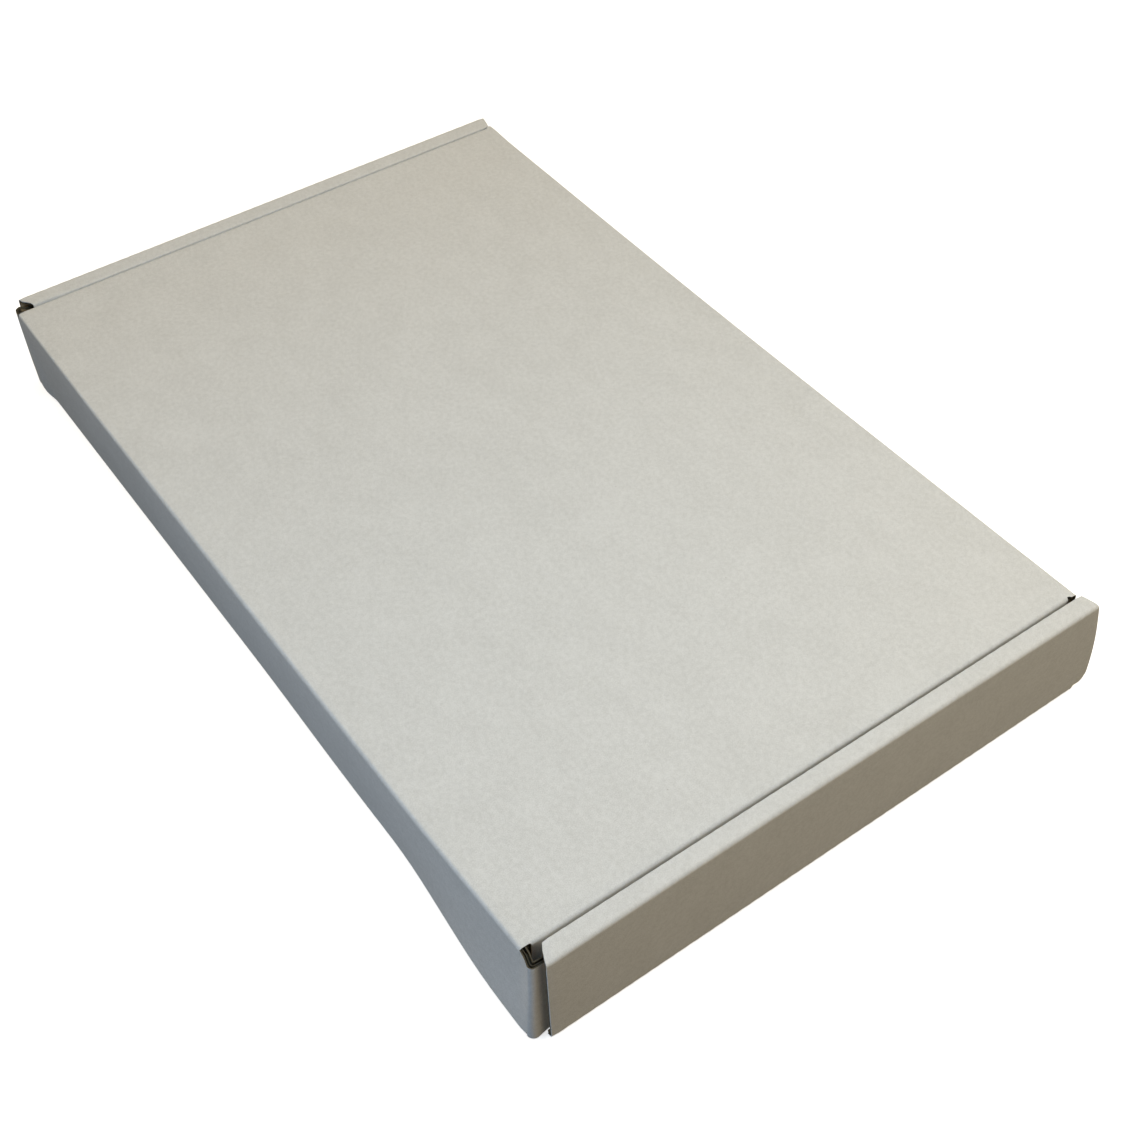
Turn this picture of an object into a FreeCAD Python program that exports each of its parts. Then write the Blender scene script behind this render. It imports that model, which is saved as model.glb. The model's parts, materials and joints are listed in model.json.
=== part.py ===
"""A white corrugated mailer box with roll-over ends and a tuck-in lid.

One sheet of thin corrugated board is cut, creased and folded into a shallow tray.  Each short end
rolls over: an outer panel rises from the base, turns over the top as a narrow strip and comes down
again as an inner panel, whose tabs lock into slots in the base.  The four dust flaps of the long
walls are trapped inside those two rolled ends.  The lid swings on the crease along the top of the
rear wall.  Its front tuck flap goes down inside the front wall, and its two end flaps go down
inside the rolled ends.

The sheet is modelled as it is folded: flat panels of one board thickness, joined by quarter-round
creases.  The lid is a second solid, because it turns on its crease.

Frame, in millimetres: X runs along the box, Y points to the rear wall that carries the lid, Z is up.
The origin is the centre of the footprint, on the surface that the box stands on.
"""
import FreeCAD
import Part
import math
import os

# ---------------------------------------------------------------- driving sizes
length = 237.0            # over the two outer end panels
width = 147.6             # over the two long walls
height = 28.0             # over the rolled ends
board = 1.5               # thickness of the corrugated board

crease_inside = 0.25      # radius inside a crease
layer_gap_outer = 0.3     # outer end panel to dust flap
layer_gap_inner = 0.1     # dust flap to inner end panel
lid_gap = 0.2             # running clearance round the lid and its flaps
hinge_gap = 0.05          # rear wall to the rolled edge of the lid
floor_gap = 0.15          # what stands on the base clears it by this

lid_drop = 1.6            # lid top below the top of the rolled ends
front_drop = 4.0          # front wall top below the top of the rolled ends
ear_drop = 1.8            # raw wall ends beside the lid, below the same top

end_inset_top = 2.4       # outer end panel's edges, in from the long walls, at the top
front_inset_top = 1.8     # the same on the opening side
end_inset_rear = 2.7      # the same at the base, on the lid's hinge side
end_inset_front = 0.9     # the same at the base, on the opening side
end_belly = 1.7           # how far the opening-side edge swells out past the front wall
belly_height = 13.0       # height where that swell is full
belly_radius = 60.0       # curve from the straight upper edge into the swell
belly_corner = 2.5        # round of its lower corner
strip_inset = 4.1         # inner end panel's edges, in from the long walls
strip_inset_front = 2.3   # the same on the opening side

tab_width = 24.0          # locking tabs of the inner end panels
tab_pitch = 72.0          # between the two tabs of one end
tab_taper = 1.2           # how much a tab narrows on each side
slot_play = 0.3           # slot clearance all round a tab

dust_flap_length = 38.0
dust_flap_taper = 4.0     # drop of its upper edge towards the free end
dust_flap_corner = 6.0
ear_play = 0.2            # raw wall end to the end of the lid's crease

lid_ear = 6.3             # lid crease ends this far in from the outer end panel
end_flap_depth = 19.0
end_flap_rear = 2.3       # end flap starts this far in front of the hinge axis
end_flap_front = 3.3      # and stops this far behind the lid's front face
end_flap_slant = 14.0     # how much its front edge slants back
end_flap_corner = 4.0
tuck_depth = 17.0
tuck_lean = 5.0           # degrees that the tuck flap leans inwards
tuck_corner = 12.0

# ---------------------------------------------------------------- derived sizes
crease = board + crease_inside                  # outside radius of a crease
half = length / 2
y_rear = (width + end_belly) / 2                # rear wall, outside face
y_front = y_rear - width                        # front wall, outside face
x_dust = half - board - layer_gap_outer         # dust flap, outside face
x_inner = x_dust - board - layer_gap_inner      # inner end panel, hidden face
x_strip = x_inner - board                       # inner end panel, face towards the contents
x_wall = x_dust - crease                        # end of a long wall's flat part
z_lid = height - lid_drop                       # lid, outside face
axis_y = y_rear - board / 2                     # hinge axis, half a board in
axis_z = z_lid - board / 2
crease_half = half - lid_ear                    # half the length of the lid's crease
X, Z = FreeCAD.Vector(1, 0, 0), FreeCAD.Vector(0, 0, 1)


# ---------------------------------------------------------------- folding helpers
# A panel lies in the local XY plane of its placement.  Its printed face is at local z = 0 and the
# board grows towards local +z, the side that every crease of this box folds to.
def move(x, y, z):
    return FreeCAD.Placement(FreeCAD.Vector(x, y, z), FreeCAD.Rotation())


def turn(axis, degrees):
    return FreeCAD.Placement(FreeCAD.Vector(), FreeCAD.Rotation(axis, degrees))


def rounded_outline(corners):
    """A closed wire through (u, v) or (u, v, radius) corners, with those corners rounded."""
    spots = [(FreeCAD.Vector(c[0], c[1], 0), c[2] if len(c) > 2 else 0.0) for c in corners]
    edges, stretches = [], []
    for i, (here, radius) in enumerate(spots):
        before = (spots[i - 1][0] - here).normalize()
        after = (spots[(i + 1) % len(spots)][0] - here).normalize()
        if not radius:
            stretches.append((here, here))
            continue
        half_angle = before.getAngle(after) / 2
        reach = radius / math.tan(half_angle)
        middle = (before + after).normalize() * (radius / math.sin(half_angle) - radius)
        start, end = here + before * reach, here + after * reach
        edges.append(Part.Arc(start, here + middle, end).toShape())
        stretches.append((start, end))
    for i, (start, end) in enumerate(stretches):
        following = stretches[(i + 1) % len(stretches)][0]
        edges.append(Part.makeLine(end, following))
    return Part.Wire(Part.__sortEdges__(edges))


def panel(place, corners):
    """One flat panel of board with that outline."""
    solid = Part.Face(rounded_outline(corners)).extrude(Z * board)
    solid.Placement = place
    return solid


def fold(place, v_edge, u_from, u_to, degrees=90.0):
    """The crease along local y = v_edge, and the placement of the panel that follows it."""
    section = Part.Face(Part.makePolygon([
        FreeCAD.Vector(u_from, v_edge, 0), FreeCAD.Vector(u_to, v_edge, 0),
        FreeCAD.Vector(u_to, v_edge, board), FreeCAD.Vector(u_from, v_edge, board),
        FreeCAD.Vector(u_from, v_edge, 0)]))
    ring = section.revolve(FreeCAD.Vector(0, v_edge, crease), X, degrees)
    ring.Placement = place
    following = place.multiply(move(0, v_edge, crease)).multiply(turn(X, degrees))
    return ring, following.multiply(move(0, 0, -crease))


def box_between(low, high):
    return Part.makeBox(*(b - a for a, b in zip(low, high)), FreeCAD.Vector(*low))


def both_ends(solids):
    """The solids made at the -X end, and their mirror images at the +X end."""
    return solids + [s.mirror(FreeCAD.Vector(), X) for s in solids]


# ---------------------------------------------------------------- tray
def base_panel():
    """The bottom, notched at its corners for the dust flaps and slotted for the locking tabs."""
    notch = layer_gap_outer + layer_gap_inner
    notch_x = x_wall - notch
    end_x = half - crease
    rear, front = y_rear - crease, y_front + crease
    outline = [
        (-end_x, front + notch), (-notch_x, front + notch), (-notch_x, front),
        (notch_x, front), (notch_x, front + notch), (end_x, front + notch),
        (end_x, rear - notch), (notch_x, rear - notch), (notch_x, rear),
        (-notch_x, rear), (-notch_x, rear - notch), (-end_x, rear - notch)]
    base = panel(move(0, 0, 0), outline)
    for middle in tab_middles():
        reach = tab_width / 2 + slot_play
        slot = box_between((-x_inner - slot_play, middle - reach, 0),
                           (-x_strip + slot_play, middle + reach, board))
        for cutter in both_ends([slot]):
            base = base.cut(cutter)
    return base


def tab_middles():
    centre = (y_rear + y_front) / 2
    return centre - tab_pitch / 2, centre + tab_pitch / 2


def long_wall(side, top, ear_top, mid_half):
    """A long wall with its two dust flaps; its middle stretch may stop lower than its ends."""
    place = turn(Z, 0) if side > 0 else turn(Z, 180)
    reach = (y_rear if side > 0 else -y_front) - crease
    ring_half = x_wall - layer_gap_outer
    ring, wall = fold(place, reach, -ring_half, ring_half)
    mid, ear = top - crease, ear_top - crease
    outline = [(-x_wall, 0), (x_wall, 0), (x_wall, ear), (mid_half, ear),
               (mid_half, mid), (-mid_half, mid), (-mid_half, ear), (-x_wall, ear)]
    if ear == mid:
        outline = [(-x_wall, 0), (x_wall, 0), (x_wall, ear), (-x_wall, ear)]
    pieces = [ring, panel(wall, outline)]
    foot = layer_gap_outer - crease             # dust flap's lowest corner, beside the base
    shelf = board + floor_gap - crease          # its edge that stands on the base
    step = layer_gap_outer
    for turned in (90, -90):
        flip = 1 if turned > 0 else -1
        side_place = wall.multiply(turn(Z, turned))
        low, high = sorted((flip * foot, flip * ear))
        bend, flap = fold(side_place, x_wall, low, high)
        corners = [(foot, 0), (foot, step), (shelf, step), (shelf, dust_flap_length, dust_flap_corner),
                   (ear - dust_flap_taper, dust_flap_length, dust_flap_corner), (ear, step), (ear, 0)]
        pieces += [bend, panel(flap, [(flip * c[0], *c[1:]) for c in corners])]
    return pieces


def rolled_end():
    """The -X end: outer panel, top strip and inner panel with its tabs, in one roll."""
    place = turn(Z, 90)                         # local x is +Y here, local y is -X
    rise = height - 2 * crease
    rear_low, front_low = y_rear - end_inset_rear, y_front + end_inset_front
    rear_top, front_top = y_rear - end_inset_top, y_front + front_inset_top
    belly = y_front - end_belly
    bottom_ring, outer = fold(place, half - crease, front_low, rear_low)
    outer_panel = panel(outer, [
        (front_low, 0), (rear_low, 0), (rear_top, rise), (front_top, rise),
        (belly, belly_height - crease, belly_radius), (belly, 0, belly_corner)])
    top_ring, strip = fold(outer, rise, front_top, rear_top)
    across = half - x_strip - 2 * crease
    rear_in, front_in = y_rear - strip_inset, y_front + strip_inset_front
    strip_panel = panel(strip, [(front_top, 0), (rear_top, 0), (rear_in, across), (front_in, across)])
    inner_ring, inner = fold(strip, across, front_in, rear_in)
    drop = height - crease - board - floor_gap
    inner_panel = panel(inner, [
        (front_in, 0), (rear_in, 0), (rear_in, drop, crease), (front_in, drop, crease)])
    tabs = []
    for middle in tab_middles():
        wide = tab_width / 2
        narrow = wide - tab_taper
        tabs.append(panel(inner, [
            (middle - wide, drop - crease), (middle + wide, drop - crease), (middle + wide, drop),
            (middle + narrow, drop + board), (middle - narrow, drop + board), (middle - wide, drop)]))
    roll = [bottom_ring, outer_panel, top_ring, strip_panel, inner_ring, inner_panel]
    return roll + tabs


def make_tray():
    rear = long_wall(+1, axis_z - board / 2 - hinge_gap, height - ear_drop, crease_half + ear_play)
    front = long_wall(-1, height - front_drop, height - front_drop, crease_half)
    pieces = [base_panel()] + rear + front + both_ends(rolled_end())
    return pieces[0].multiFuse(pieces[1:]).removeSplitter()


# ---------------------------------------------------------------- lid
def make_lid():
    """Lid panel with its rolled rear edge, front tuck flap and two end flaps."""
    place = move(0, axis_y, z_lid).multiply(turn(X, 180))     # local y runs towards the front
    x_flap = x_strip - lid_gap                                # end flap, outside face
    front_face = axis_y - (y_front + board + lid_gap)         # tuck flap, outside face, local y
    front_edge, side_edge = front_face - crease, x_flap - crease
    top = panel(place, [
        (-crease_half, 0), (crease_half, 0), (crease_half, end_flap_rear), (side_edge, end_flap_rear),
        (side_edge, front_edge), (-side_edge, front_edge), (-side_edge, end_flap_rear),
        (-crease_half, end_flap_rear)])
    roll = Part.makeCylinder(board / 2, 2 * crease_half, FreeCAD.Vector(-crease_half, axis_y, axis_z), X)
    tuck_ring, tuck = fold(place, front_edge, -side_edge, side_edge, 90 + tuck_lean)
    tuck_flap = panel(tuck, [
        (-side_edge, 0), (side_edge, 0), (side_edge, tuck_depth, tuck_corner),
        (-side_edge, tuck_depth, tuck_corner)])
    pieces = [top, roll, tuck_ring, tuck_flap]
    stop = front_face - end_flap_front
    end_place = place.multiply(turn(Z, 90))                   # towards -X; local x to the front
    end_ring, end_flap = fold(end_place, side_edge, end_flap_rear, stop)
    flap = panel(end_flap, [
        (end_flap_rear, 0), (stop, 0), (stop - end_flap_slant, end_flap_depth, end_flap_corner),
        (end_flap_rear, end_flap_depth, end_flap_corner)])
    pieces += both_ends([end_ring, flap])
    return pieces[0].multiFuse(pieces[1:]).removeSplitter()


os.makedirs("parts", exist_ok=True)
for name, shape in (("tray", make_tray()), ("lid", make_lid())):
    if len(shape.Solids) == 1:
        shape = shape.Solids[0]
    shape.exportStep(f"parts/{name}.step")
    box = shape.BoundBox
    print(f"{name}: {shape.ShapeType}, {len(shape.Solids)} solid, {shape.Volume / 1000:.2f} cm3, "
          f"valid {shape.isValid()}, X {box.XMin:.2f}..{box.XMax:.2f}, "
          f"Y {box.YMin:.2f}..{box.YMax:.2f}, Z {box.ZMin:.2f}..{box.ZMax:.2f}")
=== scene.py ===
# %% [markdown]
# A mailer box is one die-cut sheet of corrugated board: white paper outside, brown kraft inside, and a
# fluted paper between them.  This lesson draws that sheet as the die cutter leaves it, folds it in code
# into the tray and the lid, gives it its thickness, and then puts the flutes into its raw edges.
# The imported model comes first, because every size and place below is read from it.

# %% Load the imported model
import json
import math

import bpy
import numpy as np
from mathutils import Matrix, Vector, kdtree


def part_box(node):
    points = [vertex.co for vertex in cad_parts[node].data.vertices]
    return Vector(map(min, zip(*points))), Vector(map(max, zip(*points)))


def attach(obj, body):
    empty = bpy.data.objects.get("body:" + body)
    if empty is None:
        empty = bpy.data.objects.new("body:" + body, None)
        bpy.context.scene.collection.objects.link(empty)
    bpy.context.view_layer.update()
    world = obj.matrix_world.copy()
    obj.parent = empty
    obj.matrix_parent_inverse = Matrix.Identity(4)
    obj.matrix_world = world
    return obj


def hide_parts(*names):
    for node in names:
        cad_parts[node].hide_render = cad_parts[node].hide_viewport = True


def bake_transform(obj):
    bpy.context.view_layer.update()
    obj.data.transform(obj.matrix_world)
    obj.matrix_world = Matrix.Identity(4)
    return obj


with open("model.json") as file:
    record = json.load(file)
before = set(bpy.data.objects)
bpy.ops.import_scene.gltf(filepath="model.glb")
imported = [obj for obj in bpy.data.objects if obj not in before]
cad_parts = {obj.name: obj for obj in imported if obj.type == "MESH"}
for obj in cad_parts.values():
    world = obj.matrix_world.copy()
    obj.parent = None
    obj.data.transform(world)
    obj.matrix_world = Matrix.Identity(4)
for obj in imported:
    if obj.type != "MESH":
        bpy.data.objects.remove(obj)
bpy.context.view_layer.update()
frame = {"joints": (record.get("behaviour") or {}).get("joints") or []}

# %% [markdown]
# The box is measured once, from the corners of the two solids.  A few sizes of the board itself are the
# maker's own: E-flute board is 1.5 mm thick and has a flute every 3.3 mm.  Every crease was scored hard and
# folds sharper than the board is thick, so that its inside comes down to one corner.

# %% Sizes of the box and its board
MM = 0.001
tray_low, tray_high = (np.array(corner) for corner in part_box("tray"))
lid_low, lid_high = (np.array(corner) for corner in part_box("lid"))
hinge_y = frame["joints"][0]["pos_m"][1]

BOARD = 1.5 * MM
PAPER = 0.28 * MM                   # one liner
FLUTE = 3.3 * MM                    # pitch of the corrugation
LID_GAP = 0.2 * MM                  # beside the lid's flaps
FLOOR_GAP = 0.15 * MM               # under panels that stand on the base

# outside radii of the creases
FOOT, CORNER = 1.2 * MM, 1.3 * MM   # round the base, and up a corner
OVER, DOWN = 0.9 * MM, 0.15 * MM    # over the rolled end, and down again
HINGE = (0.9 * MM, 0.45 * MM)       # the lid's crease, at its near and at its far end
LID_FRONT = 0.8 * MM
LID_END = {-1: 0.8 * MM, 1: 0.5 * MM}               # the near end flap is folded rounder than the far one
END_PLAY = {-1: 1.0 * MM, 1: 0.3 * MM}              # and stands further in

end_x = tray_high[0]                # outer face of a rolled end
top_z = tray_high[2]
rear_y = lid_high[1]                # outer face of the rear wall
front_y = lid_low[1] - BOARD - LID_GAP
belly_y = tray_low[1] - 0.25 * MM   # soft board, swollen a little past the model
lid_z = lid_high[2]
flap_x = lid_high[0]                # outer face of a lid end flap
strip_x = flap_x + LID_GAP          # inner end panel, face towards the contents
inner_x = strip_x + BOARD
dust_x = inner_x + BOARD + 0.1 * MM
print("box, mm", *(round(size / MM, 2) for size in (2 * end_x, rear_y - front_y, top_z)))
print("lid height, mm", round(lid_z / MM, 2))

# %% [markdown]
# A folded panel is a grid whose rows run along its creases.  The board could be bent with a modifier, but
# a crease needs its lines exactly where it starts and ends, so the lines are laid out in code: evenly,
# with one on every place that matters.

# %% Lines across a panel
def grid_lines(low, high, step, through=()):
    """Lines from low to high about step apart, with one exactly on every value of through."""
    marks = sorted({low, high, *(value for value in through if low < value < high)})
    spans = []
    for a, b in zip(marks, marks[1:]):
        spans.append(np.linspace(a, b, max(1, round((b - a) / step)) + 1)[:-1])
    return np.append(np.concatenate(spans), high)


print("a row of lines, mm", (grid_lines(0, 8 * MM, 3 * MM, through=[1 * MM]) / MM).round(2))

# %% [markdown]
# The side view of a fold is walked like a turtle's path: straight runs for the flat board, arcs for the
# creases.  The walk keeps to the printed side and notes the opposite point on the kraft side, which in a
# crease stays in one inside corner.  Every point also remembers how far along the flat sheet it lies, so
# that flutes and paper grain run on over the folds as they do on real board.

# %% Folded side views
def lead(angle, radius):
    """The flat on each side of a crease, up to where the inside faces meet in a corner."""
    return (BOARD - radius) * math.tan(math.radians(abs(angle)) / 2)


def crease(angle, radius):
    """The runs of one crease.  A right angle takes up one board thickness on each side of its corner."""
    return [lead(angle, radius), (angle, radius), lead(angle, radius)]


def side_view(start, heading, runs, board=1, step=3 * MM, turns=8):
    """Walks runs: a length is flat board, and (degrees, radius) a crease, anticlockwise if positive.

    board is +1 where the board lies to the left of the walk.  Returns the distance walked, the points,
    the opposite points on the kraft side, and how deep in a crease each point lies, from 0 to 1."""
    def ahead(angle):
        return np.array([math.cos(angle), math.sin(angle)])

    def through(angle):
        return board * BOARD * np.array([-math.sin(angle), math.cos(angle)])

    heading = math.radians(heading)
    place = np.array(start, float)
    rows = [[0.0, place, place + through(heading), 0.0]]
    for run in runs:
        if isinstance(run, tuple):
            turn, radius = math.radians(run[0]) / turns, run[1]
            corner = place - lead(run[0], radius) * ahead(heading) + through(heading)
            rows[-1][2] = corner
            for i in range(turns):
                place = place + 2 * radius * math.sin(abs(turn) / 2) * ahead(heading + turn / 2)
                heading += turn
                depth = math.sin(math.pi * (i + 1) / turns)
                rows.append([rows[-1][0] + radius * abs(turn), place, corner, depth])
        else:
            count = max(1, round(run / step))
            for i in range(count):
                place = place + run / count * ahead(heading)
                rows.append([rows[-1][0] + run / count, place, place + through(heading), 0.0])
    return tuple(np.array(column) for column in zip(*rows))


print("flat beside a right-angled crease, mm", round(lead(90, FOOT) / MM, 2))

# %% [markdown]
# The panels of one sheet are gathered as patches of a single surface, the printed side of the board.
# Neighbouring patches share their edge points, so they weld.  Whatever stays unwelded is a raw, cut edge.
# Blender could merge them by distance, but then each point's place on the flat sheet would be lost.

# %% Helpers for a sheet
WELD = 0.004 * MM


def welded(points):
    """For every point, the index of the first point at its place."""
    keys = np.round(points / WELD + 0.13).astype(np.int64)
    _, first, same = np.unique(keys, axis=0, return_index=True, return_inverse=True)
    return first[same.reshape(-1)]


def real_faces(faces):
    """Faces without repeated corners: a square that has shrunk to a triangle or less."""
    short = [list(dict.fromkeys(face)) for face in faces]
    return [face for face in short if len(face) > 2]


def store(mesh, label, values, kind="FLOAT"):
    """Keeps one value for every point of a mesh."""
    field, number = "vector" if kind == "FLOAT_VECTOR" else "value", np.int32 if kind == "INT" else np.float32
    mesh.attributes.new(label, kind, "POINT").data.foreach_set(field, values.astype(number).reshape(-1))


# %% A sheet made of patches
class Sheet:
    """The printed side of the board, patch by patch."""

    def __init__(self):
        self.columns = {"point": [], "kraft_side": [], "along": [], "across": [], "fold": [], "crushed": []}
        self.faces = []
        self.count = 0

    def patch(self, points, kraft_side, along, across, fold, outward, keep=None, crushed=0.0):
        """Adds a grid of points (rows, columns, 3); along and across are places on the flat sheet.

        fold is 0 to 1 in a crease and negative where the crease runs along the flutes, outward the way
        the printed side of its first cell faces, keep a mask of its cells, and crushed 1 where edges
        cut along the flutes are pinched thin."""
        rows, columns = points.shape[:2]
        keep = np.ones((rows - 1, columns - 1), bool) if keep is None else keep
        index = np.arange(rows * columns).reshape(rows, columns) + self.count
        cells = np.stack([index[:-1, :-1], index[:-1, 1:], index[1:, 1:], index[1:, :-1]], -1)
        r, c = np.argwhere(keep)[0]
        facing = np.cross(points[r, c + 1] - points[r, c], points[r + 1, c] - points[r, c])
        if facing @ np.array(outward) < 0:
            cells = cells[..., ::-1]
        self.columns["point"].append(points.reshape(-1, 3))
        self.columns["kraft_side"].append(kraft_side.reshape(-1, 3))
        for label, values in (("along", along), ("across", across), ("fold", fold), ("crushed", crushed)):
            self.columns[label].append(np.broadcast_to(values, (rows, columns)).reshape(-1))
        self.faces += cells[keep].reshape(-1, 4).tolist()
        self.count += rows * columns

    def mesh(self, name, warp):
        """Welds the patches into a mesh that carries the flat-sheet places and the way to the kraft side."""
        column = {label: np.concatenate(values) for label, values in self.columns.items()}
        faces = real_faces(welded(column["point"])[np.array(self.faces)].tolist())
        used = np.unique(np.concatenate(faces))
        place = np.full(self.count, -1)
        place[used] = np.arange(len(used))
        points = warp(column["point"])
        mesh = bpy.data.meshes.new(name)
        mesh.from_pydata(points[used].tolist(), [], [place[face].tolist() for face in faces])
        for label in ("along", "across", "fold", "crushed"):
            store(mesh, label, column[label][used])
        store(mesh, "through", (warp(column["kraft_side"]) - points)[used], "FLOAT_VECTOR")
        store(mesh, "corner", welded(column["kraft_side"][used]), "INT")
        mesh.shade_smooth()
        print(name, len(mesh.vertices), "points", len(mesh.polygons), "cells")
        return mesh


# %% [markdown]
# The tray's base has a notch at each corner, which lets the dust flaps stand, and two slots at each end
# for the locking tabs.  The slots could be cut with a Boolean, but a grid with a line on each of their
# sides only has to leave those cells out.  The same lines run on into the walls that rise from the base.

# %% Tray: where things lie along and across the base
base_end, base_rear, base_front = end_x - BOARD, rear_y - BOARD, front_y + BOARD
wall_x = dust_x - BOARD                            # where a long wall starts to bend into its dust flap
foot_x = wall_x - 0.3 * MM                         # where its crease with the base ends
notch_x, notch_depth = wall_x - 0.4 * MM, 3.8 * MM
fold_at = {end: flap_x - END_PLAY[end] - BOARD for end in (-1, 1)}             # where the lid starts to fold
corner_at = {end: fold_at[end] + lead(90, LID_END[end]) for end in (-1, 1)}    # and where its bend begins


def bend_at(end, step):
    """Place along x after some of the eight steps round the bend of the lid's end flap."""
    return corner_at[end] + LID_END[end] * math.sin(step * math.pi / 16)


BAND_STEPS = {-1: 3, 1: 6}                         # the lid's crease ends this far round those bends
near_crease, far_crease = (bend_at(end, steps) for end, steps in BAND_STEPS.items())
tab_y = [(rear_y + front_y) / 2 + side * 36 * MM for side in (-1, 1)]
TAB_HALF, PLAY = 12 * MM, 0.3 * MM
slot_y = [y + side * (TAB_HALF + PLAY) for y in tab_y for side in (-1, 1)]
tab_edges = [y + side * TAB_HALF for y in tab_y for side in (-1, 1)]
slot_x = (strip_x - PLAY, inner_x + PLAY)
roll_rear, roll_front = rear_y - 3.0 * MM, front_y + 1.7 * MM      # ends of the rolled end's bottom crease
NEAR_AN_EDGE = [d * MM for d in (0.25, 0.55, 0.95, 1.5)]           # closer lines, where edges are crushed

x_marks = [side * x for side in (-1, 1) for x in (notch_x, wall_x, foot_x, *slot_x)]
x_marks += [end * bend_at(end, step) for end, steps in BAND_STEPS.items() for step in range(steps + 1)]
x_marks += [-fold_at[-1], fold_at[1], *np.arange(104, 112) * MM]   # with closer lines at the far corner
x_lines = grid_lines(-base_end, base_end, 4 * MM, x_marks)
y_marks = [base_rear - notch_depth, base_front + notch_depth, *slot_y, *tab_edges]
y_marks += [roll_rear - d for d in (0, *NEAR_AN_EDGE)] + [roll_front + d for d in (0, *NEAR_AN_EDGE)]
y_lines = grid_lines(base_front, base_rear, FLUTE / 4, y_marks)


def middles(lines):
    return (lines[1:] + lines[:-1]) / 2


def inside(values, pair):
    return (values > min(pair)) & (values < max(pair))


print(len(x_lines), "lines across the length,", len(y_lines), "across the width")

# %% Tray: base
tray = Sheet()
rows = y_lines[y_lines <= base_rear + WELD]
xm, ym = np.meshgrid(middles(x_lines), middles(rows))
in_slot = inside(np.abs(xm), slot_x) & (inside(ym, slot_y[:2]) | inside(ym, slot_y[2:]))
in_notch = (np.abs(xm) > notch_x) & ((ym > base_rear - notch_depth) | (ym < base_front + notch_depth))
X, Y = np.meshgrid(x_lines, rows)
base, base_inside = (np.stack([X, Y, z + 0 * X], -1) for z in (0, BOARD))
tray.patch(base, base_inside, X, Y, 0.0, (0, 0, -1), ~(in_slot | in_notch))
print("base", len(tray.faces), "cells")

# %% [markdown]
# A flap's outer corners are rounded by the knife.  Here they are rounded by moving the sides of its grid
# inwards row by row, so that the grid stays whole and nothing has to be cut.

# %% Rounded corners
def rounded_end(distance, total, radius):
    """How far a side of a flap has come in at a distance along it, for a rounded outer corner."""
    into = np.clip(distance - (total - radius), 0, radius)
    return radius - np.sqrt(np.maximum(radius ** 2 - into ** 2, 0))


def quarter(radius, count):
    """Runs that end a flap on a rounded corner, shorter towards its tip."""
    return list(np.diff(radius * np.sin(np.linspace(0, math.pi / 2, count + 1))))


print("a corner of 4 mm, walked in steps of", (np.array(quarter(4 * MM, 3)) / MM).round(2), "mm")

# %% [markdown]
# Each long wall rises from its crease and bends at both ends into a dust flap, which stands hidden inside
# the rolled end.  Between the ends of the lid's crease the rear wall stops at the lid, and beside it the
# raw board rises as a small ear.

# %% Tray: dust flaps
DUST_LENGTH, DUST_TAPER, DUST_CORNER = 38 * MM, 4 * MM, 6 * MM


def dust_flap(side, end, wall_y, heights, top, across0):
    """Bends off a wall's end and runs inwards beside the rolled end."""
    foot, shelf = 0.3 * MM, BOARD + FLOOR_GAP       # lower edge in the base's notch, and over the base
    sloped, untapered = notch_depth / 1.15, 0.3 * MM
    runs = [*crease(90, CORNER), 1.5 * MM, 2.0 * MM, DUST_LENGTH - 3.5 * MM - DUST_CORNER]
    distance, *views, fold = side_view((0, 0), 0, runs + quarter(DUST_CORNER, 8))
    out = distance - (distance[-1] - DUST_LENGTH)
    rounding = rounded_end(out, DUST_LENGTH, DUST_CORNER)
    high = top - DUST_TAPER * np.clip(out - untapered, 0, None) / DUST_LENGTH - rounding
    low = foot + (shelf - foot) * np.clip(out / sloped, 0, 1) + rounding
    levels = np.array([foot, 1.0 * MM, *heights])[:, None]
    share = np.clip((levels - BOARD) / (top - BOARD), 0, 1)
    under = np.clip((BOARD - levels) / (BOARD - foot), 0, 1)
    start = np.where(out <= 0, BOARD, np.minimum(np.maximum(low, BOARD), high))
    Z = start + (high - start) * share - (start - low) * under
    points, opposite = (
        np.stack([end * (wall_x + view[:, 0]) + 0 * Z, wall_y - side * view[:, 1] + 0 * Z, Z], -1)
        for view in views)
    along = end * (wall_x + distance) + 0 * Z
    tray.patch(points, opposite, along, across0 + side * (Z - BOARD), fold + 0 * Z, (end, side, 0))


# %% Tray: long walls
EAR_TOP, FRONT_TOP = top_z - 1.8 * MM, top_z - 5 * MM
CREASE_DROP = 2.25 * MM                            # the lid's crease band starts this far below the lid


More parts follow.
